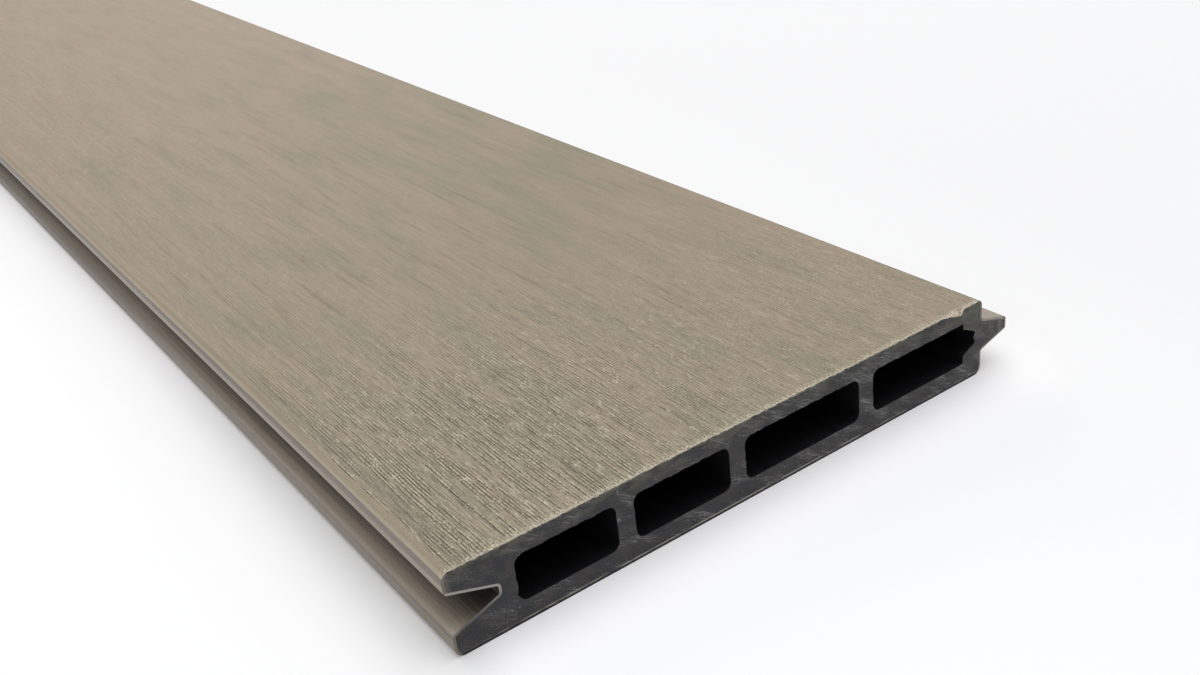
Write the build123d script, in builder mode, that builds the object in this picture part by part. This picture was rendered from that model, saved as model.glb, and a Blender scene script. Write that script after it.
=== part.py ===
from build123d import *

import os
from math import radians, tan

# Hollow composite board for fences and wall cladding. A dark core with four cells is covered
# all round by a thin coloured cap that is extruded together with it. One long edge has a V-groove
# and the other a V-tongue, so that boards slot into each other.
# The board lies flat, show face up: X along its length, Y across it from groove to tongue, Z up.
# The origin is the middle of its underside. Sizes are in millimetres.

# Overall sizes. The face spans from the groove's lips to the shoulders beside the tongue.
length = 1800.0
face_width = 148.0
thickness = 20.0
cap_thickness = 0.55

# Groove, about a centre line that it shares with the tongue. Its slope is in degrees.
joint_height = 10.4
groove_mouth = 9.6
groove_depth = 11.2
groove_slope = 19.0

# Tongue, which is smaller than the groove of the next board by these gaps
tongue_end_gap = 2.3
tongue_root_gap = 0.6
tongue_tip_gap = 0.2

# Roundings of the outer surface. The upper corner above the tongue is sharper than the other three.
corner_radius = 2.1
shoulder_radius = 1.4
lip_radius = 0.9
groove_root_radius = 0.6
tongue_tip_radius = 0.6
tongue_root_radius = 0.8

# Walls round the cells. The webs stand at these distances from the groove's lips.
top_wall = 4.2
bottom_wall = 4.9
groove_wall = 4.0
shoulder_wall = 6.3
web = 4.4
web_places = (41.5, 71.0, 109.2)
cell_radius = 2.0
tongue_side_radius = 0.6

# Pocket that runs from the last cell into the tongue, with a blunt ridge along its end.
# It stands a little above the centre line of the tongue.
pocket_rise = 0.3
pocket_depth = 4.3
pocket_mouth = 7.3
pocket_end = 3.0
pocket_radius = 0.3
ridge_height = 0.7

# Flake that the saw tore from the edge between the show face and the cut end. Its lowest point and
# the point that it reaches farthest back stand at these distances from its steep side.
flake_width = 8.4
flake_drop = 1.9
flake_reach = 1.4
flake_to_lowest = 0.8
flake_to_farthest = 2.4
flake_to_shoulder = 6.0

# Places across the board
tongue_length = groove_depth - tongue_end_gap
nose = -(face_width + tongue_length) / 2
shoulder = nose + face_width
groove_root = nose + groove_depth
tongue_tip = shoulder + tongue_length

# Half heights of the groove and of the tongue about their centre line
slope = tan(radians(groove_slope))
mouth_half = groove_mouth / 2
root_half = mouth_half - groove_depth * slope
tongue_half = mouth_half - tongue_root_gap
tip_half = mouth_half - tongue_length * slope - tongue_tip_gap

# Corners of the board's outline
outer_corners = [(nose, 0), (shoulder, 0), (shoulder, thickness), (nose, thickness)]
lip_corners = [(nose, joint_height + mouth_half), (nose, joint_height - mouth_half)]
groove_corners = [(groove_root, joint_height + root_half), (groove_root, joint_height - root_half)]
shoulder_corners = [(shoulder, joint_height - tongue_half), (shoulder, joint_height + tongue_half)]
tip_corners = [(tongue_tip, joint_height - tip_half), (tongue_tip, joint_height + tip_half)]


def corners(sketch, points):
    """The corners of a sketch that stand at these points."""
    return [sketch.vertices().sort_by_distance(point).first for point in points]


# Outline of the whole board, drawn across it and up
with BuildSketch() as board_outline:
    with BuildLine():
        Polyline(
            *outer_corners[:2],
            shoulder_corners[0],
            *tip_corners,
            shoulder_corners[1],
            *outer_corners[2:],
            lip_corners[0],
            *groove_corners,
            lip_corners[1],
            close=True,
        )
    make_face()
    sharp_corner = (shoulder, thickness)
    fillet(corners(board_outline, [sharp_corner]), shoulder_radius)
    fillet(corners(board_outline, [point for point in outer_corners if point != sharp_corner]), corner_radius)
    fillet(corners(board_outline, lip_corners), lip_radius)
    fillet(corners(board_outline, groove_corners), groove_root_radius)
    fillet(corners(board_outline, shoulder_corners), tongue_root_radius)
    fillet(corners(board_outline, tip_corners), tongue_tip_radius)

# Outline of the core, one cap thickness inside the board's outline
with BuildSketch() as core_outline:
    add(board_outline.sketch)
    offset(amount=-cap_thickness, kind=Kind.INTERSECTION, mode=Mode.REPLACE)

# Cells between the webs. The last one opens into the tongue's pocket.
wall_faces = [groove_root + groove_wall]
for place in web_places:
    wall_faces += [nose + place - web / 2, nose + place + web / 2]
wall_faces.append(shoulder - shoulder_wall)
cell_bottom = bottom_wall
cell_top = thickness - top_wall
cells = []
for left, right in zip(wall_faces[::2], wall_faces[1::2]):
    with BuildSketch() as cell:
        with Locations(((left + right) / 2, (cell_bottom + cell_top) / 2)):
            Rectangle(right - left, cell_top - cell_bottom)
        left_corners = [(left, cell_bottom), (left, cell_top)]
        right_corners = [(right, cell_bottom), (right, cell_top)]
        fillet(corners(cell, left_corners), cell_radius)
        beside_tongue = right == wall_faces[-1]
        fillet(corners(cell, right_corners), tongue_side_radius if beside_tongue else cell_radius)
    cells.append(cell.sketch)

with BuildSketch() as pocket:
    pocket_start = wall_faces[-1]
    pocket_tip = pocket_start + pocket_depth
    pocket_centre = joint_height + pocket_rise
    end_corners = [(pocket_tip, pocket_centre - pocket_end / 2), (pocket_tip, pocket_centre + pocket_end / 2)]
    ridge = (pocket_tip - ridge_height, pocket_centre)
    with BuildLine():
        Polyline(
            (pocket_start, pocket_centre + pocket_mouth / 2),
            (pocket_start, pocket_centre - pocket_mouth / 2),
            end_corners[0],
            ridge,
            end_corners[1],
            close=True,
        )
    make_face()
    fillet(corners(pocket, [*end_corners, ridge]), pocket_radius)

# Torn flake: a wedge from the end's top edge, deepest near its steep side
end_plane = Plane.YZ.offset(length / 2)
flake_end = shoulder - flake_to_shoulder
with BuildPart() as flake:
    with BuildSketch(end_plane):
        with BuildLine():
            Polyline(
                (flake_end - flake_width, thickness),
                (flake_end - flake_to_lowest, thickness - flake_drop),
                (flake_end, thickness),
                close=True,
            )
        make_face()
    farthest = Vertex(length / 2 - flake_reach, flake_end - flake_to_farthest, thickness)
    loft(sections=[flake.pending_faces[0], farthest], ruled=True)

start_plane = Plane.YZ.offset(-length / 2)

# Cap, a closed skin round the core
with BuildPart() as cap:
    with BuildSketch(start_plane):
        add(board_outline.sketch)
        add(core_outline.sketch, mode=Mode.SUBTRACT)
    extrude(amount=length)
    add(flake.part, mode=Mode.SUBTRACT)

# Core with its cells, which run from end to end
with BuildPart() as core:
    with BuildSketch(start_plane):
        add(core_outline.sketch)
        add([*cells, pocket.sketch], mode=Mode.SUBTRACT)
    extrude(amount=length)
    add(flake.part, mode=Mode.SUBTRACT)

cap.part.label = "cap"
core.part.label = "core"

os.makedirs("parts", exist_ok=True)
export_step(cap.part, "parts/cap.step")
export_step(core.part, "parts/core.step")
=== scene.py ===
import bmesh
import bpy
from math import log, pi, radians, tan
from mathutils import Matrix, Vector, noise
from random import Random


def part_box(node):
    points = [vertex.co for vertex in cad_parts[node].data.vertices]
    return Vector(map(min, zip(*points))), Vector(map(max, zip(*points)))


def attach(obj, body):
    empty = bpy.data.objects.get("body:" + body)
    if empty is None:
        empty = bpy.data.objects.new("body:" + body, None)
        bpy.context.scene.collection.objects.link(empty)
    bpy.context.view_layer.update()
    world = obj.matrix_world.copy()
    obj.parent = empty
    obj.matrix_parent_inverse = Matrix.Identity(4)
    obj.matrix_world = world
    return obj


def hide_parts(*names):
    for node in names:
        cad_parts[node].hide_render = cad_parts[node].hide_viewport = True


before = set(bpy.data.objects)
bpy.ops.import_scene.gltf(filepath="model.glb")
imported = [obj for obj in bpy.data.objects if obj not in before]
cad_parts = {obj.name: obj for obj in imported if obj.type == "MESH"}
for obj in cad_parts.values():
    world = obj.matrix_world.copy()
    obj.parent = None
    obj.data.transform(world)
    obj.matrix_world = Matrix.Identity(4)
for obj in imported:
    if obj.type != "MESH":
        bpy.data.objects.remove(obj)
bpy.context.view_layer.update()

# Core of the board: wood flour and dark plastic, pressed through a die as one hollow bar and sawn to
# length. The saw leaves slanting scratches, pale specks and dust on the ends, and ragged rims at the
# cells. At the near end it also tore a flake out of the top edge.
cad_low, cad_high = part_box("cap")
end = cad_high.x
length = cad_high.x - cad_low.x
nose = cad_low.y
tongue_tip = cad_high.y
thickness = cad_high.z
face_width = 0.148
shoulder = nose + face_width
cap_thickness = 0.00055
hair = 0.00002

joint_height = 0.0104
groove_mouth = 0.0096
groove_depth = 0.0112
groove_slope = tan(radians(19))
tongue_root_gap = 0.0006
tongue_tip_gap = 0.0002
groove_root = nose + groove_depth
mouth_half = groove_mouth / 2
root_half = mouth_half - groove_depth * groove_slope
tongue_half = mouth_half - tongue_root_gap
tip_half = mouth_half - (tongue_tip - shoulder) * groove_slope - tongue_tip_gap
lower_lip = joint_height - mouth_half
upper_lip = joint_height + mouth_half

corner_radius = 0.0021
shoulder_radius = 0.0014
lip_radius = 0.0009
groove_root_radius = 0.0006
tongue_tip_radius = 0.0006
tongue_root_radius = 0.0008
outline = [
    ((nose, 0), corner_radius),
    ((shoulder, 0), corner_radius),
    ((shoulder, joint_height - tongue_half), tongue_root_radius),
    ((tongue_tip, joint_height - tip_half), tongue_tip_radius),
    ((tongue_tip, joint_height + tip_half), tongue_tip_radius),
    ((shoulder, joint_height + tongue_half), tongue_root_radius),
    ((shoulder, thickness), shoulder_radius),
    ((nose, thickness), corner_radius),
    ((nose, upper_lip), lip_radius),
    ((groove_root, joint_height + root_half), groove_root_radius),
    ((groove_root, joint_height - root_half), groove_root_radius),
    ((nose, lower_lip), lip_radius),
]
grain_columns = 600

cell_bottom = 0.0049
cell_top = thickness - 0.0042
cell_radius = 0.002
web_half = 0.0022
web_places = (0.0415, 0.071, 0.1092)
first_cell_wall = groove_root + 0.004
last_cell_wall = shoulder - 0.0063
tongue_side_radius = 0.0006
pocket_centre = joint_height + 0.0003
pocket_mouth_half = 0.00365
pocket_tip = last_cell_wall + 0.0043
pocket_tip_half = 0.0015
pocket_radius = 0.0003
ridge_height = 0.0007

rim_spacing = 0.0004
rim_depth = 0.0003
rim_raggedness = 0.00022
calm_share = 0.35
rougher_share = 0.4
bite_place = Vector((first_cell_wall, 0.0071))
bite_size = 0.0007

flake_end = shoulder - 0.006
flake_lowest = flake_end - 0.0008
flake_farthest = flake_end - 0.0024
flake_start = flake_end - 0.0084
flake_drop = 0.0019
flake_reach = 0.0014

core_charcoal = (0.0272, 0.0282, 0.031)
core_brown = (0.044, 0.038, 0.038)
core_line = (0.45, 0.42, 0.35)
# Near black painted shade for the inside of the cells, where light hardly reaches.
cell_painted_shade = (0.0028, 0.0028, 0.0045)
core_dust = (0.2, 0.195, 0.19)
smear_olive = (0.118, 0.114, 0.082)
nose_brown = (0.15, 0.125, 0.11)
scratch_slant = radians(33)
scratch_depth = 0.00012


def draw_face(bm, corners):
    """Draws a flat face at the cut end, with each corner rounded by its own radius."""
    verts = [bm.verts.new((end, y, z)) for (y, z), radius in corners]
    bm.faces.new(verts)
    for vert, (place, radius) in zip(verts, corners):
        if radius:
            arms = [(edge.other_vert(vert).co - vert.co).normalized() for edge in vert.link_edges]
            reach = radius / tan(arms[0].angle(arms[1]) / 2)
            bmesh.ops.bevel(
                bm, geom=[vert], offset=reach, offset_type="OFFSET", segments=6, profile=0.5,
                affect="VERTICES", material=-1,
            )


def draw_section(bm):
    """Draws the board's section as a ring of cap round the face of the core, and returns that face."""
    draw_face(bm, outline)
    top_edges = [e for e in bm.edges if min(v.co.z for v in e.verts) > thickness - hair]
    longest_edge = max(top_edges, key=lambda edge: edge.calc_length())
    bmesh.ops.subdivide_edges(bm, edges=[longest_edge], cuts=grain_columns - 1)
    bm.faces.ensure_lookup_table()
    section = bm.faces[0]
    bmesh.ops.inset_region(
        bm, faces=[section], thickness=cap_thickness, use_even_offset=True, use_boundary=True
    )
    return section


def draw_cells(bm):
    """Draws the four cells between the webs. The last one opens into the tongue."""
    walls = [first_cell_wall]
    for place in web_places:
        walls += [nose + place - web_half, nose + place + web_half]
    for left, right in zip(walls[:-1:2], walls[1::2]):
        corners = [(left, cell_bottom), (right, cell_bottom), (right, cell_top), (left, cell_top)]
        draw_face(bm, [(corner, cell_radius) for corner in corners])
    draw_face(
        bm,
        [
            ((walls[-1], cell_bottom), cell_radius),
            ((last_cell_wall, cell_bottom), tongue_side_radius),
            ((last_cell_wall, pocket_centre - pocket_mouth_half), 0),
            ((pocket_tip, pocket_centre - pocket_tip_half), pocket_radius),
            ((pocket_tip - ridge_height, pocket_centre), pocket_radius),
            ((pocket_tip, pocket_centre + pocket_tip_half), pocket_radius),
            ((last_cell_wall, pocket_centre + pocket_mouth_half), 0),
            ((last_cell_wall, cell_top), tongue_side_radius),
            ((walls[-1], cell_top), cell_radius),
        ],
    )


def waver(*place):
    """Smooth noise about 0 at this place."""
    return noise.noise(Vector(place))


def ragged(vert, towards_cell):
    """How a cell's rim strays from its line, most on the left and on top. One rim has a bite in it."""
    x, y, z = vert.co
    coarse = waver(y / 0.0017, z / 0.0017, 40 * x)
    fine = waver(y / 0.0006, z / 0.0006, 70 * x)
    on_left = towards_cell.y > 0.5
    on_top = towards_cell.z < -0.5
    share = calm_share + rougher_share * on_left + rougher_share * on_top
    stray = towards_cell * rim_raggedness * share * (coarse + fine)
    from_bite = (Vector((y, z)) - bite_place).length / bite_size
    if x > 0 and from_bite < 1:
        stray -= towards_cell * bite_size * (1 - from_bite)
    return stray


def flake_depth(x, y):
    """How far the torn flake goes below the show face at this place."""
    back = (end - x) / flake_reach
    long_side = (y - flake_start - back * (flake_farthest - flake_start)) / (flake_lowest - flake_start)
    steep_side = (flake_end - y - back * (flake_end - flake_farthest)) / (flake_end - flake_lowest)
    return flake_drop * max(0, min(long_side, steep_side))


def lower_inner_rim(verts):
    """Takes the line between cap and core down under the torn flake."""
    for vert in verts:
        if vert.co.z > thickness - cap_thickness - hair:
            torn_face = thickness - flake_depth(vert.co.x, vert.co.y)
            vert.co.z = min(vert.co.z, torn_face - 5 * hair)


def extrude_row(bm, edges):
    """Extrudes a row of edges, and returns the new row's edges and vertices, still in the old place."""
    made = bmesh.ops.extrude_edge_only(bm, edges=edges)["geom"]
    new_edges = [part for part in made if isinstance(part, bmesh.types.BMEdge)]
    new_verts = [part for part in made if isinstance(part, bmesh.types.BMVert)]
    return new_edges, new_verts


def core_bar():
    """Draws the hollow bar as rows of edges from end to end, with ragged rims, and closes both ends."""
    bm = bmesh.new()
    core_face = draw_section(bm)
    bmesh.ops.delete(bm, geom=[face for face in bm.faces if face is not core_face], context="FACES")
    outer_rim = set(bm.edges)
    draw_cells(bm)
    for edge in [e for e in bm.edges if e not in outer_rim]:
        cuts = int(edge.calc_length() / rim_spacing)
        if cuts:
            bmesh.ops.subdivide_edges(bm, edges=[edge], cuts=cuts)
    bm.normal_update()
    towards_cell = {}
    for face in bm.faces:
        if not outer_rim.issuperset(face.edges):
            for loop in face.loops:
                along = loop.link_loop_next.vert.co - loop.link_loop_prev.vert.co
                towards_cell[loop.vert] = face.normal.cross(along).normalized()
    bmesh.ops.delete(bm, geom=list(bm.faces), context="FACES_ONLY")
    rows = [list(bm.edges)]
    row_verts = [list(bm.verts)]
    clean = {vert: vert.co.copy() for vert in bm.verts}
    for depth in (rim_depth, length - rim_depth, length):
        new_edges, new_verts = extrude_row(bm, rows[-1])
        rows.append(new_edges)
        row_verts.append(new_verts)
        for vert in new_verts:
            source = next(e.other_vert(vert) for e in vert.link_edges if e.calc_length() < hair / 100)
            clean[vert] = clean[source]
            towards_cell[vert] = towards_cell.get(source)
        for vert in new_verts:
            vert.co = clean[vert] - Vector((depth, 0, 0))
    for vert in row_verts[0] + row_verts[-1]:
        if towards_cell.get(vert):
            vert.co += ragged(vert, towards_cell[vert])
    lower_inner_rim(row_verts[0] + row_verts[1])
    for row in (rows[0], rows[-1]):
        bmesh.ops.triangle_fill(bm, edges=row, use_beauty=True)
    bmesh.ops.recalc_face_normals(bm, faces=bm.faces)
    return bm


class Number:
    """A value that changes over a surface. Python's operators add the Math nodes that work it out."""

    def __init__(self, finish, socket):
        self.finish = finish
        self.socket = socket

    def math(self, operation, *values):
        return self.finish.node("ShaderNodeMath", {"operation": operation}, dict(enumerate(values)))

    def __add__(self, other):
        return self.math("ADD", self, other)

    def __sub__(self, other):
        return self.math("SUBTRACT", self, other)

    def __mul__(self, other):
        return self.math("MULTIPLY", self, other)

    def __rsub__(self, other):
        return self.math("SUBTRACT", other, self)

    def __abs__(self):
        return self.math("ABSOLUTE", self)

    __radd__ = __add__
    __rmul__ = __mul__

    def above(self, low, high):
        """0 below low, 1 above high and a soft step between them."""
        settings = {"interpolation_type": "SMOOTHSTEP"}
        values = {"Value": self, "From Min": low, "From Max": high}
        return self.finish.node("ShaderNodeMapRange", settings, values)

    def below(self, low, high):
        """1 below low, 0 above high and a soft step between them."""
        return 1 - self.above(low, high)

    def near(self, middle, half_width):
        """1 at the middle, falling to 0 at this distance from it."""
        return abs(self - middle).below(0.0, half_width)


class Finish:
    """A material built from nodes that read the place of each point on the object."""

    def __init__(self, name):
        self.material = bpy.data.materials.new(name)
        self.material.use_nodes = True
        self.material.node_tree.nodes.clear()
        self.place = self.node("ShaderNodeTexCoord", output="Object")

    def node(self, kind, settings=None, values=None, output=None):
        """Adds a node, its settings first and then the values or links of its sockets."""
        made = self.material.node_tree.nodes.new(kind)
        for setting, value in (settings or {}).items():
            setattr(made, setting, value)
        for key, value in (values or {}).items():
            socket = made.inputs[key]
            if isinstance(key, str):
                socket = next(s for s in made.inputs if s.name == key and s.enabled)
            if isinstance(value, Number):
                self.material.node_tree.links.new(value.socket, socket)
            else:
                socket.default_value = value
        outputs = [s for s in made.outputs if s.enabled and output in (None, s.name)]
        return Number(self, next(iter(outputs), None))

    def along(self, axes):
        """A point's place along these axes: X along the board, Y across it from the groove, Z up."""
        values = {"Vector": self.place}
        return [self.node("ShaderNodeSeparateXYZ", values=values, output=axis) for axis in axes]

    def pattern(self, size, turn=(0, 0, 0), detail=2.0, roughness=0.5, shift=(0, 0, 0)):
        """Soft noise from 0 to 1 whose blots have this size along each axis, in metres."""
        scale = [1 / s for s in size]
        turned = self.node("ShaderNodeMapping", values={"Vector": self.place, "Rotation": turn})
        values = {"Vector": turned, "Scale": scale, "Location": shift}
        stretched = self.node("ShaderNodeMapping", values=values)
        values = {"Vector": stretched, "Scale": 1.0, "Detail": detail, "Roughness": roughness}
        return self.node("ShaderNodeTexNoise", values=values)

    def blend(self, share, first, second):
        """Two colours mixed by a share from 0 to 1."""
        colours = [c if isinstance(c, Number) else (*c, 1.0) for c in (first, second)]
        settings = {"data_type": "RGBA", "clamp_factor": True}
        return self.node("ShaderNodeMix", settings, {"Factor": share, "A": colours[0], "B": colours[1]})

    def layered(self, colour, *layers):
        """A colour with others laid over it in turn, each by its own share from 0 to 1."""
        for share, layer in layers:
            colour = self.blend(share, colour, layer)
        return colour

    def bump(self, height, depth):
        """A relief of this depth in metres."""
        return self.node("ShaderNodeBump", values={"Height": height, "Distance": depth})

    def surface(self, values):
        """The shader itself, with these values for its sockets, joined to the output."""
        shader = self.node("ShaderNodeBsdfPrincipled", values=values)
        self.node("ShaderNodeOutputMaterial", values={"Surface": shader})
        return self.material


def sawn_end(x):
    """1 on the two flat ends that the saw left, 0 on the rest of the board."""
    return abs(x).above(end - 5 * hair, end - hair)


def saw_marks(finish, y):
    """Paleness and relief on the ends: the saw's scratches, rubbed patches, grit and specks, and a paleness
    that grows towards the tongue.
    """
    steep = (scratch_slant, 0, 0)
    flatter = (scratch_slant * 0.55, 0, 0)
    scratches = finish.pattern((1, 0.006, 0.00022), steep, detail=1.0)
    thin_scratches = finish.pattern((1, 0.004, 0.00012), flatter, detail=1.0, shift=(3, 1, 2))
    rubbed = finish.pattern((1, 0.009, 0.0035), steep, detail=2.0, shift=(1, 5, 4))
    grit = finish.pattern((0.0004, 0.0004, 0.0004), detail=3.0, roughness=0.6)
    specks = finish.pattern((0.0009, 0.0009, 0.0009), detail=1.0, shift=(9, 2, 1)).above(0.68, 0.76)
    bright = rubbed.above(0.46, 0.62)
    lines = scratches.above(0.55, 0.66) * bright
    lines = lines + thin_scratches.above(0.55, 0.67) * (bright * 0.6 + 0.35)
    lines = lines * (y.above(nose + 0.006, nose + 0.03) * 0.6 + 0.4)
    lines = lines * (1 - y.above(shoulder - 0.003, shoulder + 0.001) * 0.5)
    paleness = lines * 0.75 + specks * 0.5 + (rubbed - 0.5) * 0.8 + (grit - 0.5) * 1.5 - 0.09
    paleness = paleness + y.above(nose, shoulder) * 0.12
    return paleness, scratches + thin_scratches * 0.6 + grit * 0.8


def smears(finish, y, z):
    """How much cap plastic the saw smeared over the ends here, under the show face's edge."""
    patches = finish.pattern((1, 0.007, 0.003), detail=3.0, roughness=0.6, shift=(2, 2, 2))
    patches = patches.above(0.46, 0.62) * z.above(thickness - 0.0042, thickness - 0.0015)
    by_shoulder = y.above(flake_end - 0.0018, flake_end + 0.0002)
    by_shoulder = by_shoulder * z.above(joint_height + 0.0006, thickness - 0.003)
    under_flake = y.above(flake_start, flake_lowest) * y.below(flake_end - 0.0004, flake_end + 0.0004)
    under_flake = under_flake * z.above(thickness - 0.0045, thickness - 0.0025)
    return patches * 0.5 + by_shoulder * 0.28 + under_flake * 0.4


def dark_composite():
    """The core's material: charcoal with brown patches where it is sawn, and near black painted shade inside
    the cells.
    """
    finish = Finish("dark_composite")
    x, y, z = finish.along("XYZ")
    sawn = sawn_end(x)
    paleness, relief = saw_marks(finish, y)
    glint_breaks = finish.pattern((1, 0.005, 0.001)).above(0.38, 0.58)
    glint_breaks = glint_breaks * y.above(nose, nose + 0.02) * (0.9 - y.above(0.02, 0.05) * 0.5)
    bottom_glint = z.near(cap_thickness + 0.00022, 0.00026) * glint_breaks
    brown_patches = finish.pattern((0.003, 0.005, 0.003), detail=3.0, roughness=0.6, shift=(7, 7, 1))
    chips = finish.pattern((1, 0.0012, 0.0007), detail=3.0, roughness=0.7, shift=(8, 3, 6))
    on_tongue = y.above(shoulder - 0.005, shoulder + 0.001)
    on_tongue = on_tongue * z.above(joint_height - 0.002, joint_height + 0.003)
    on_tongue = on_tongue * (chips.above(0.37, 0.65) * 0.55 + 0.04)
    pale_tip = y.near(tongue_tip - 0.0021, 0.0014) * 0.5
    nose_rim = y.below(nose + 0.0006, nose + 0.0022) * 0.65
    nose_rim = nose_rim * z.above(joint_height + 0.003, joint_height + 0.005)
    sawn_colour = finish.layered(
        core_charcoal,
        (brown_patches.above(0.4, 0.62), core_brown),
        (paleness + pale_tip, core_dust),
        (nose_rim, nose_brown),
        (bottom_glint, core_line),
        (smears(finish, y, z) + on_tongue, smear_olive),
    )
    # Everything but the sawn ends gets the near black painted shade, seen inside the cells.
    return finish.surface(
        {
            "Base Color": finish.blend(sawn, cell_painted_shade, sawn_colour),
            "Roughness": 0.6,
            "Specular IOR Level": 0.35,
            "Normal": finish.bump(relief * sawn, scratch_depth),
        }
    )


def add_piece(name, bm, material):
    """Makes the drawn mesh a piece of the board. Its side faces are smooth and its ends flat."""
    mesh = bpy.data.meshes.new(name)
    bm.to_mesh(mesh)
    bm.free()
    for polygon in mesh.polygons:
        polygon.use_smooth = abs(polygon.normal.x) < 0.7
    mesh.materials.append(material)
    piece = bpy.data.objects.new(name, mesh)
    bpy.context.scene.collection.objects.link(piece)
    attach(piece, "root")
    return piece


core = add_piece("core_bar", core_bar(), dark_composite())
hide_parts("core")

# Cap: a coloured plastic skin half a millimetre thick, pressed round the core in the same die. A hot
# roller then embosses the show face with wood grain, and leaves a smooth strip beside the groove.
first_step = 0.00025
step_growth = 0.12
even_step = 0.0014
even_stretch = 0.06
far_growth = 0.065
longest_step = 0.045

flat_left = nose + corner_radius
flat_right = shoulder - shoulder_radius
column_width = (flat_right - flat_left) / grain_columns
columns_per_line = 3
line_depth = 0.00015
ridge_share = 0.6
swell_depth = 0.00005
smooth_margin = 0.0017
ragged_margin = 0.0012
margin_fade = 0.0008
face_edge_fade = 0.002
grain_length = 0.0145
far_stretch = 7
softening = 0.35
softens_from = -0.045
softens_across = 0.08
softens_along = 0.25
cut_edge_fade = 0.0012

tear_depth = 0.00012
edge_drop = 0.00005
flake_roughness = 0.45
break_depth = 0.00028
break_reach = 0.0008
break_start = 0.0008
break_finish = 0.0004
fully_torn = 0.00015
bead_height = 0.0001

cap_beige = (0.335, 0.273, 0.191)
cap_moss = (0.268, 0.246, 0.17)
cap_blush = (0.375, 0.29, 0.216)
# Dark grain lines: partly the cap's own streaks, partly painted shade in the pressed lines.
cap_line_and_shade = (0.06, 0.053, 0.036)
cap_streak = (0.1, 0.072, 0.062)
# Pale crumbs and specks, and the painted highlights on the grain's ridges, the rounded edge and the cut edge.
cap_speck_and_highlight = (0.62, 0.56, 0.43)
cap_rim = (0.1, 0.098, 0.07)
cap_torn = (0.82, 0.7, 0.58)
cap_torn_dark = (0.27, 0.215, 0.16)
cap_side = (0.3, 0.254, 0.207)
# A darker copy of the side colour: for its streaks, and as painted shade under the arris and under the show
# face.
cap_side_streaks_and_shade = (0.16, 0.135, 0.11)
# Painted light: a lit copy of the side colour, for the nose, the lower wall, the arris and the tongue's top.
cap_side_painted_light = (0.475, 0.402, 0.318)
groove_shade = (0.02, 0.011, 0.008)
cap_cut = (0.46, 0.43, 0.395)
cap_cut_brown = (0.19, 0.162, 0.14)
cap_cut_dark = (0.012, 0.0115, 0.012)


def limited(value):
    """The value, kept between 0 and 1."""
    return min(1, max(0, value))


def grain(x, y, line):
    """How deep the roller pressed this line of the grain here, from 0 to 1."""
    from_end = end - x
    along = min(from_end, even_stretch) / grain_length
    along += far_stretch * log(max(from_end, even_stretch) / even_stretch)
    ragged_start = ragged_margin * waver(x / 0.006, 0.2, 5.9)
    margin = limited((y - nose - smooth_margin - ragged_start) / margin_fade)
    patch = waver(along * 0.6, y / 0.0045, 3.1) + 0.6 * waver(along * 1.7, y / 0.0022, 7.7)
    depth = waver(along, line * 5.37, 0.5) + 0.5 * waver(along * 3.3, line * 3.11, 9.5)
    softer = 1 - softening * limited((y - softens_from) / softens_across)
    softer *= 1 - softening * limited((from_end - even_stretch) / softens_along)
    softer *= limited(0.2 + from_end / cut_edge_fade)
    return margin * softer * limited(1.35 + 1.8 * patch) * limited(0.85 + 2.1 * depth)


def torn_back(y):
    """How far the saw tore the show face's edge back from the cut end."""
    return tear_depth * limited(0.1 + 0.9 * waver(y / 0.003, 0.3, 0.7) + 0.5 * waver(y / 0.0009, 4.3, 2.7))


def torn_depth(x, y):
    """How far the saw tore the show face down here: the rough flake, and a broken edge beside it."""
    rough = abs(waver(x / 0.0006, y / 0.0005, 2.2))
    broken = limited(1 - (end - x) / break_reach) * limited((y - flake_lowest) / break_start)
    broken *= limited((flat_right - y) / break_finish) * break_depth
    return max(flake_depth(x, y) * (1 - flake_roughness * rough), broken * (1 - rough))


def emboss(bm, inner_verts):
    """Presses the wood grain into the show face and tears its edge at the near end."""
    line_layer = bm.verts.layers.float.new("grain")
    torn_layer = bm.verts.layers.float.new("torn")
    surface_layer = bm.verts.layers.float.new("surface")
    for vert in bm.verts:
        x, y, z = vert.co
        vert[surface_layer] = vert not in inner_verts
        if z < thickness - hair or not flat_left - hair < y < flat_right + hair:
            continue
        column = round((y - flat_left) / column_width)
        line, place_in_line = divmod(column, columns_per_line)
        in_line = place_in_line == 1
        pressed = grain(x, y, line)
        torn = torn_depth(x, y)
        # A line's third column keeps a negative share: the cap's colour paints a highlight there, beside the
        # pressed line.
        vert[line_layer] = (0, pressed, -ridge_share * pressed)[place_in_line]
        vert[torn_layer] = limited(torn / fully_torn)
        inside = min(limited((y - flat_left) / face_edge_fade), limited((flat_right - y) / face_edge_fade))
        sway = 2.2 * waver(x / 0.04, line * 0.11, 4.4) + 0.3 * waver(x / 0.02, line * 2.3, 1.6)
        swell = 0.5 + 0.5 * waver(x / 0.03, y / 0.0035, 1.3)
        vert.co.y += column_width * sway * inside
        vert.co.z -= max((line_depth * pressed * in_line + swell_depth * swell) * inside, torn)
        if x > end - hair and torn == 0:
            back = torn_back(y)
            vert.co.x -= back
            vert.co.z -= edge_drop + 0.6 * back


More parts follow.
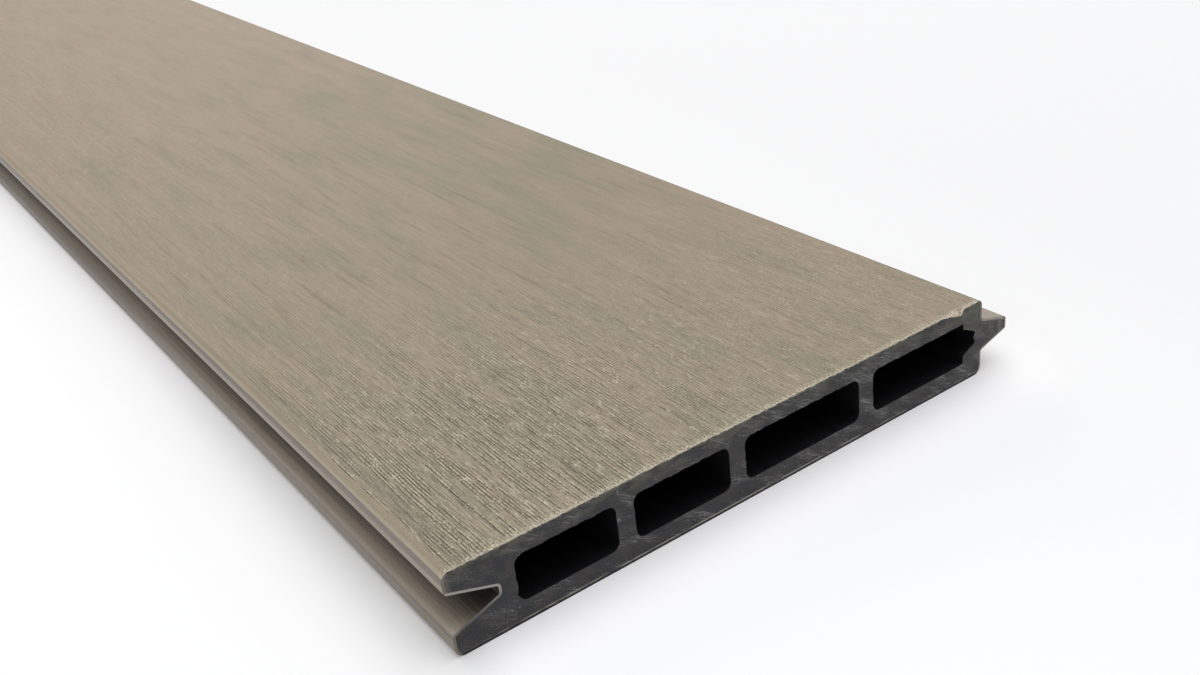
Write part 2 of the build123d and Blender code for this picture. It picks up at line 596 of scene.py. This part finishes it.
def cap_skin():
    """Draws the skin as a tube: rows of edges outside, close together near the cut end, and one inside."""
    bm = bmesh.new()
    core_face = draw_section(bm)
    inner_rim = list(core_face.edges)
    row = [edge for edge in bm.edges if edge.is_boundary]
    bmesh.ops.delete(bm, geom=[core_face], context="FACES_ONLY")
    copied = bmesh.ops.duplicate(bm, geom=list(bm.faces) + inner_rim)
    far_verts = [part for part in copied["geom"] if isinstance(part, bmesh.types.BMVert)]
    bmesh.ops.translate(bm, vec=(-length, 0, 0), verts=far_verts)
    far_inner = [copied["edge_map"][edge] for edge in inner_rim]
    bmesh.ops.bridge_loops(bm, edges=inner_rim + far_inner)
    lower_inner_rim({vert for edge in inner_rim for vert in edge.verts})
    travelled = 0
    while travelled < length:
        step = min(first_step + step_growth * travelled, even_step)
        step += far_growth * max(0, travelled - even_stretch)
        step = min(step, longest_step)
        if length - travelled < 1.5 * step:
            step = length - travelled
        row, row_verts = extrude_row(bm, row)
        bmesh.ops.translate(bm, vec=(-step, 0, 0), verts=row_verts)
        travelled += step
    last_verts = [v for v in bm.verts if v.co.x < cad_low.x + hair]
    for vert in last_verts:
        vert.co.x = cad_low.x
    bmesh.ops.remove_doubles(bm, verts=last_verts, dist=hair / 2)
    bmesh.ops.recalc_face_normals(bm, faces=bm.faces)
    emboss(bm, {vert for edge in inner_rim + far_inner for vert in edge.verts})
    return bm


def kept_on_mesh(finish, name):
    """A value that the mesh keeps for each of its points."""
    return finish.node("ShaderNodeAttribute", {"attribute_name": name}, output="Fac")


def die_lines(finish):
    """Fine lines that the die draws along the board's sides and its smooth strip."""
    return finish.pattern((0.15, 0.0006, 0.0005), detail=2.0, roughness=0.6, shift=(6, 2, 8))


def at_groove(z):
    """1 at the heights of the groove's mouth."""
    return z.above(lower_lip - 0.0003, lower_lip + 0.0002) * z.below(upper_lip, upper_lip + 0.0006)


def show_face_look(finish, x, y, z):
    """Colour and relief of the embossed face. Its grain is plainest near the ends and the groove."""
    grained = kept_on_mesh(finish, "grain")
    near_end = abs(x).above(end - 0.12, end - 0.025) * 0.75 + 0.25
    strength = near_end * (1 - y.above(-0.05, 0.02) * 0.5)
    at_cut = abs(x).above(end - 0.0022, end - 0.0004)
    off_margin = y.above(nose + smooth_margin, nose + smooth_margin + 0.0014)
    farther_back = y.above(-0.01, 0.05) * abs(x).below(end - 0.16, end - 0.05)

    clouds = finish.pattern((0.09, 0.016, 0.02), detail=3.0, shift=(2, 4, 0))
    bands = finish.pattern((0.04, 0.0045, 0.02), detail=3.0, roughness=0.55, shift=(5, 9, 1))
    blush = finish.pattern((0.045, 0.007, 0.02), detail=3.0, shift=(7, 1, 3))
    streaks = finish.pattern((0.03, 0.0022, 0.01), detail=3.0, roughness=0.6)
    # Besides the random clouds, the pinker, lighter tone away from the cut end and towards the tongue side,
    # and the darker moss towards the groove side, are painted light and shade.
    moss = (clouds - 0.5) * 2.4 + (bands - 0.5) * 2.4 + (streaks - 0.5) * 1.2 + 0.32
    moss = moss + y.below(-0.05, 0.02) * 0.12 + farther_back * 0.5
    pinker = blush * 2.0 - 1.0 + x.below(end - 0.12, end - 0.03) * 0.25 + y.above(0.0, 0.06) * 0.55
    pinker = pinker + x.below(end - 0.5, end - 0.1) * 0.55 + (1 - off_margin) * 0.35 - farther_back * 0.5
    long_streaks = finish.pattern((0.036, 0.0016, 0.01), detail=2.0, shift=(6, 4, 2)).above(0.55, 0.73)
    long_streaks = long_streaks * off_margin * (abs(x).above(end - 0.35, end - 0.12) * 0.65 + 0.35)
    long_streaks = long_streaks * (1 - y.above(0.0, 0.04) * 0.4)

    hairlines = finish.pattern((0.0055, 0.0003, 0.002), detail=1.0, roughness=0.55, shift=(4, 1, 0))
    beads = finish.pattern((0.0008, 0.00045, 0.0005), detail=2.0, roughness=0.6, shift=(5, 3, 2))
    grit = finish.pattern((0.0007, 0.0004, 0.0003), detail=2.0, roughness=0.7, shift=(1, 1, 1))
    # The pressed lines are darkened: partly the cap's own streaks, partly painted shade in the hollows.
    pressed_lines_and_shade = grained.above(0.05, 0.6) * (beads.above(0.36, 0.62) * 0.55 + 0.5)
    faint_lines = hairlines.above(0.52, 0.68) * off_margin * 0.45
    lines = (pressed_lines_and_shade + faint_lines) * strength

    thread_paths = finish.pattern((0.0012, 0.0009, 0.001), detail=2.0, shift=(3, 7, 5)).near(0.5, 0.05)
    thread_places = finish.pattern((0.0045, 0.0022, 0.001), detail=1.0, shift=(8, 3, 1)).above(0.6, 0.66)
    threads = thread_paths * thread_places * off_margin * strength
    # Painted highlights on the ridges beside the pressed lines and between the hairlines.
    ridge_highlights = grained.below(-0.5, -0.05) * beads.below(0.4, 0.56) * 0.95
    ridge_highlights = ridge_highlights + hairlines.below(0.3, 0.48) * off_margin * 0.4
    cut_crumbs = finish.pattern((0.0007, 0.0006, 0.001), detail=2.0, shift=(5, 5, 2)).above(0.5, 0.62)
    # A painted highlight along the cut edge, with pale crumbs beside it.
    sawn_edge = abs(x).above(end - 0.00045, end - 0.0002) * 0.75 + at_cut * cut_crumbs * 0.9
    specks_and_highlights = threads * 0.8 + ridge_highlights * strength + (grit - 0.5) * near_end * 1.1 + sawn_edge

    # Darker near the cut end beside the smooth strip.
    beside_margin = y.near(nose + 0.0046, 0.0026) * near_end * 0.35
    margin_lines_and_darkening = die_lines(finish).above(0.5, 0.7) * (1 - off_margin) * 0.3 + beside_margin
    # Painted highlight on the rounded edge above the groove.
    rounded = z.near(thickness - 0.0009, 0.0008) * y.below(nose + 0.001, nose + 0.0025)
    far_edge = y.above(flat_right, flat_right + 0.0005)
    colour = finish.layered(
        cap_beige,
        (moss, cap_moss),
        (pinker, cap_blush),
        (long_streaks * 0.31, cap_streak),
        (lines * (1 - at_cut * 0.7), cap_line_and_shade),
        (specks_and_highlights, cap_speck_and_highlight),
        (margin_lines_and_darkening, cap_side_streaks_and_shade),
        (rounded * 0.55, cap_speck_and_highlight),
        (far_edge * 0.6, cap_rim),
    )
    relief = (hairlines * off_margin * 1.2 + beads * 0.8 + grit * 0.5) * strength + streaks * 0.4
    return colour, relief


def side_look(finish, x, y, z):
    """Colour of the groove side, the groove, the tongue and the underside."""
    side_clouds = finish.pattern((0.02, 0.002, 0.0012), detail=3.0, shift=(1, 8, 4))
    darker = (die_lines(finish) - 0.44) * 2.6 + (side_clouds - 0.5) * 0.9
    at_nose = y.below(nose + 0.002, nose + 0.0025)
    # Painted light on the nose face, the lower wall and the rounded arris of the lower lip.
    upper_nose = at_nose * z.near(upper_lip + 0.0007, 0.002)
    lower_wall = y.below(nose + 0.001, nose + 0.0035) * z.near(lower_lip + 0.0006, 0.0008)
    arris = y.below(nose + lip_radius, nose + 0.0012) * z.near(lower_lip + 0.0001, 0.0005)
    # Painted shade under the lower lip's arris and in a band under the show face's rounded edge.
    below_arris = at_nose * z.near(lower_lip - lip_radius, 0.0006)
    below_face = at_nose * z.near(thickness - 0.0018, 0.0009)
    far_lip = at_nose * z.below(lower_lip, lower_lip + 0.0008) * x.below(end - 0.25, end - 0.06)
    deep = y.above(nose + 0.0022, groove_root - 0.003) * y.below(groove_root, groove_root + 0.0012)
    shade = deep * at_groove(z) * (x.above(end - 0.3, end - 0.04) * 0.3 + 0.62)
    # Painted light on the tongue's top.
    tongue_top = y.above(shoulder - 0.0005, shoulder + 0.0005) * z.above(joint_height, joint_height + 0.001)
    return finish.layered(
        cap_side,
        (darker, cap_side_streaks_and_shade),
        (upper_nose * 0.6, cap_side_painted_light),
        (lower_wall * 0.6 + arris * 0.7, cap_side_painted_light),
        (below_arris * 0.4, cap_side_streaks_and_shade),
        (below_face * 0.35, cap_side_streaks_and_shade),
        (far_lip * 0.45, cap_rim),
        (shade, groove_shade),
        (tongue_top * 0.4, cap_side_painted_light),
    )


def cut_look(finish, y, z, paleness):
    """Colour of the cap where the saw cut through it. It is pale in the groove, smeared on top, and near
    black low down, a painted shadow.
    """
    surface = kept_on_mesh(finish, "surface")
    lining = surface.above(0.45, 0.85) * (z.above(joint_height - 0.003, joint_height + 0.001) * 0.55 + 0.22)
    in_groove = y.below(groove_root + 0.0006, groove_root + 0.0012) * at_groove(z) * lining
    at_edges = y.below(nose + 0.0005, nose + 0.002) + y.above(shoulder - 0.002, shoulder - 0.0005)
    olive = y.above(shoulder - 0.001, shoulder) * 0.5 + smears(finish, y, z)
    tongue_rim = y.above(shoulder, shoulder + 0.001) * y.below(tongue_tip - 0.0009, tongue_tip - 0.0006)
    tongue_rim = tongue_rim * z.above(joint_height, joint_height + 0.001)
    tip_rim = y.above(tongue_tip - 0.0006, tongue_tip - 0.0005) * surface.below(0.5, 0.8)
    hanging = finish.pattern((1, 0.0014, 0.0004), detail=2.0, roughness=0.6, shift=(4, 4, 9))
    hanging = hanging.above(0.42, 0.6) * z.above(thickness - 0.0005, thickness - 0.00015)
    # Near black low down is a painted shadow along the bottom edge.
    return finish.layered(
        cap_cut_dark,
        (z.above(0.002, 0.006), core_charcoal),
        (at_edges, cap_cut_brown),
        (in_groove, cap_cut),
        (olive, smear_olive),
        (tongue_rim * 0.5, cap_cut),
        (tip_rim * 0.8, cap_cut_dark),
        (paleness * z.above(cap_thickness, 0.001), core_dust),
        (hanging * 0.75, cap_speck_and_highlight),
    )


def embossed_cap():
    """The cap's plastic: embossed on top, drawn smooth at the sides, torn at the flake, sawn at the ends."""
    finish = Finish("embossed_cap")
    x, y, z = finish.along("XYZ")
    show_face = z.above(thickness - 0.0013, thickness - 0.0008)
    sawn = sawn_end(x)
    face_colour, face_relief = show_face_look(finish, x, y, z)
    torn_chips = finish.pattern((0.0006, 0.0005, 0.0005), detail=3.0, roughness=0.7, shift=(6, 6, 3))
    torn_colour = finish.blend(torn_chips.above(0.34, 0.56), cap_torn_dark, cap_torn)
    paleness, scratches = saw_marks(finish, y)
    colour = finish.layered(
        side_look(finish, x, y, z),
        (show_face, face_colour),
        (kept_on_mesh(finish, "torn"), torn_colour),
        (sawn, cut_look(finish, y, z, paleness)),
    )
    return finish.surface(
        {
            "Base Color": colour,
            "Roughness": 0.45 + show_face * 0.17,
            "Specular IOR Level": 0.3,
            "Normal": finish.bump(face_relief + scratches * sawn, bead_height),
        }
    )


cap = add_piece("cap_skin", cap_skin(), embossed_cap())
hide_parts("cap")

# Burr: pale crumbs and threads of cap plastic that the saw raised along the show face's cut edge.
# Most are tiny, a few are threads up to two millimetres long, and more of them stand round the flake.
edge_crumbs = 260
flake_crumbs = 60
first_crumb = nose + 0.008
nearest_crumb = 0.0001
crumb_belt = 0.0009
longest_thread = 0.0018
crumb_thickness = 0.0004
crumb_sink = 0.00003
crumb_pale = (0.8, 0.76, 0.64)
crumb_grit = 0.0003
crumb_roughness = 0.00005


def add_crumb(bm, chance, x, y):
    """One crumb or thread lying on the torn surface, more or less along the edge."""
    reach = longest_thread / 2 * (0.15 + 0.85 * chance.random() ** 3)
    thin = crumb_thickness / 2 * chance.uniform(0.5, 1.1)
    place = Vector((x, y, thickness - torn_depth(x, y) - crumb_sink))
    turn = Matrix.Rotation(chance.uniform(-0.7, 0.7), 4, "Z")
    turn = turn @ Matrix.Rotation(chance.uniform(-0.4, 0.4), 4, "X")
    shape = Matrix.Translation(place) @ turn @ Matrix.Diagonal((thin, reach, thin, 1))
    bmesh.ops.create_icosphere(bm, subdivisions=1, radius=1, matrix=shape)


def burr():
    """Scatters the crumbs along the cut edge and over the flake, and keeps them inside the board's box."""
    bm = bmesh.new()
    chance = Random(11)
    for crumb in range(edge_crumbs):
        y = chance.uniform(first_crumb, flat_right)
        add_crumb(bm, chance, end - nearest_crumb - crumb_belt * chance.random() ** 2, y)
    for crumb in range(flake_crumbs):
        y = chance.uniform(flake_start, flake_end + 0.003)
        add_crumb(bm, chance, end - chance.uniform(0.0002, flake_reach), y)
    for vert in bm.verts:
        vert.co.x = min(vert.co.x, end - hair)
        vert.co.z = min(vert.co.z, thickness - hair)
    return bm


def torn_plastic():
    """The cap's plastic where it is torn into crumbs, paler than its surface."""
    finish = Finish("torn_plastic")
    grit = finish.pattern((crumb_grit, crumb_grit, crumb_grit), detail=3.0)
    return finish.surface(
        {
            "Base Color": finish.blend(grit, cap_beige, crumb_pale),
            "Roughness": 0.5,
            "Normal": finish.bump(grit, crumb_roughness),
        }
    )


add_piece("burr", burr(), torn_plastic())

# Ground that the board lies on: a wide sheet of matt white paper, rolled out flat. It has a painted glow,
# light that the paper itself gives off, brightest beside the cut end and the groove where it paints
# out the board's shadow, and painted shade makes it darker away from the board.
ground_size = 8.0
fibre_size = 0.002
paper_near = ((0.89, 0.89, 0.895), (0.91, 0.91, 0.915))
paper_far = ((0.79, 0.79, 0.795), (0.81, 0.81, 0.815))
paper_glow = (0.31, 0.31, 0.315)
paper_painted_fill = (0.64, 0.62, 0.65)


def white_paper():
    """Matt paper with faint fibres, a painted glow that fills the board's shadow, and painted shade away from
    the board.
    """
    paper = Finish("white_paper")
    x, y = paper.along("XY")
    fibres = paper.pattern((fibre_size, fibre_size, fibre_size), detail=3.0)
    near_white = paper.blend(fibres, *paper_near)
    far_white = paper.blend(fibres, *paper_far)
    # Painted shade: the paper is darker away from the board.
    painted_shade_away = y.above(-0.06, 0.18) + y.below(-0.4, -0.1) * 0.7
    # Painted light beside the cut end and the groove, where it paints out the board's shadow.
    by_cut_end = x.near(end, 0.025) * y.above(nose, nose + 0.01) * y.below(shoulder, tongue_tip + 0.02)
    by_far_lip = y.near(nose, 0.018) * x.below(end - 0.2, end - 0.03) * x.above(cad_low.x, cad_low.x + 0.2)
    painted_fill = by_cut_end * 0.7 + by_far_lip * 1.1
    # Painted light: the paper gives off light of its own, though it is no lamp.
    return paper.surface(
        {
            "Base Color": paper.blend(painted_shade_away, near_white, far_white),
            "Roughness": 0.9,
            "Specular IOR Level": 0.2,
            "Emission Color": paper.blend(painted_fill, paper_glow, paper_painted_fill),
            "Emission Strength": 0.4,
        }
    )


bm = bmesh.new()
bmesh.ops.create_grid(bm, x_segments=1, y_segments=1, size=ground_size / 2)
ground_mesh = bpy.data.meshes.new("ground")
bm.to_mesh(ground_mesh)
bm.free()
ground_mesh.materials.append(white_paper())
ground = bpy.data.objects.new("ground", ground_mesh)
bpy.context.scene.collection.objects.link(ground)

# Light: a pale room that fills the shadows, a wide soft light overhead, and a window far behind the
# board that gives the show face its warm sheen.
room_colour = (0.97, 0.985, 1.0, 1.0)
room_strength = 0.42
scene = bpy.context.scene
scene.view_settings.view_transform = "Standard"
room = bpy.data.worlds.new("pale_room")
room.use_nodes = True
room.node_tree.nodes["Background"].inputs["Color"].default_value = room_colour
room.node_tree.nodes["Background"].inputs["Strength"].default_value = room_strength
scene.world = room


def soft_lamp(name, place, target, size, power, colour):
    """A lamp with a wide glowing face that points at its target."""
    light = bpy.data.lights.new(name, "AREA")
    light.color = colour
    light.shape = "RECTANGLE"
    light.size, light.size_y = size
    light.energy = power
    lamp = bpy.data.objects.new(name, light)
    lamp.location = place
    lamp.rotation_euler = (Vector(target) - Vector(place)).to_track_quat("-Z", "Y").to_euler()
    scene.collection.objects.link(lamp)


soft_lamp(
    "overhead", place=(0.6, 0.3, 2.1), target=(0.4, 0, 0), size=(2.4, 2.4), power=36,
    colour=(1.0, 1.0, 1.0),
)
soft_lamp(
    "window", place=(-3.2, 1.2, 1.3), target=(0.3, 0, 0), size=(2.0, 1.4), power=21,
    colour=(1.0, 0.93, 0.85),
)

# Camera: where the photo was taken from, close to the cut end and a little above it. It looks back
# along the board and is tipped a little sideways.
eye = (1.07673, -0.14928, 0.16395)
heading = radians(57.74)
dip = radians(27.96)
tip = radians(-7.21)
camera_data = bpy.data.cameras.new("camera")
camera_data.lens = 38.425
camera_data.sensor_width = 36
camera_data.clip_start = 0.01
camera = bpy.data.objects.new("camera", camera_data)
turn = Matrix.Rotation(heading, 4, "Z") @ Matrix.Rotation(pi / 2 - dip, 4, "X") @ Matrix.Rotation(tip, 4, "Z")
camera.matrix_world = Matrix.Translation(eye) @ turn
scene.collection.objects.link(camera)
scene.camera = camera
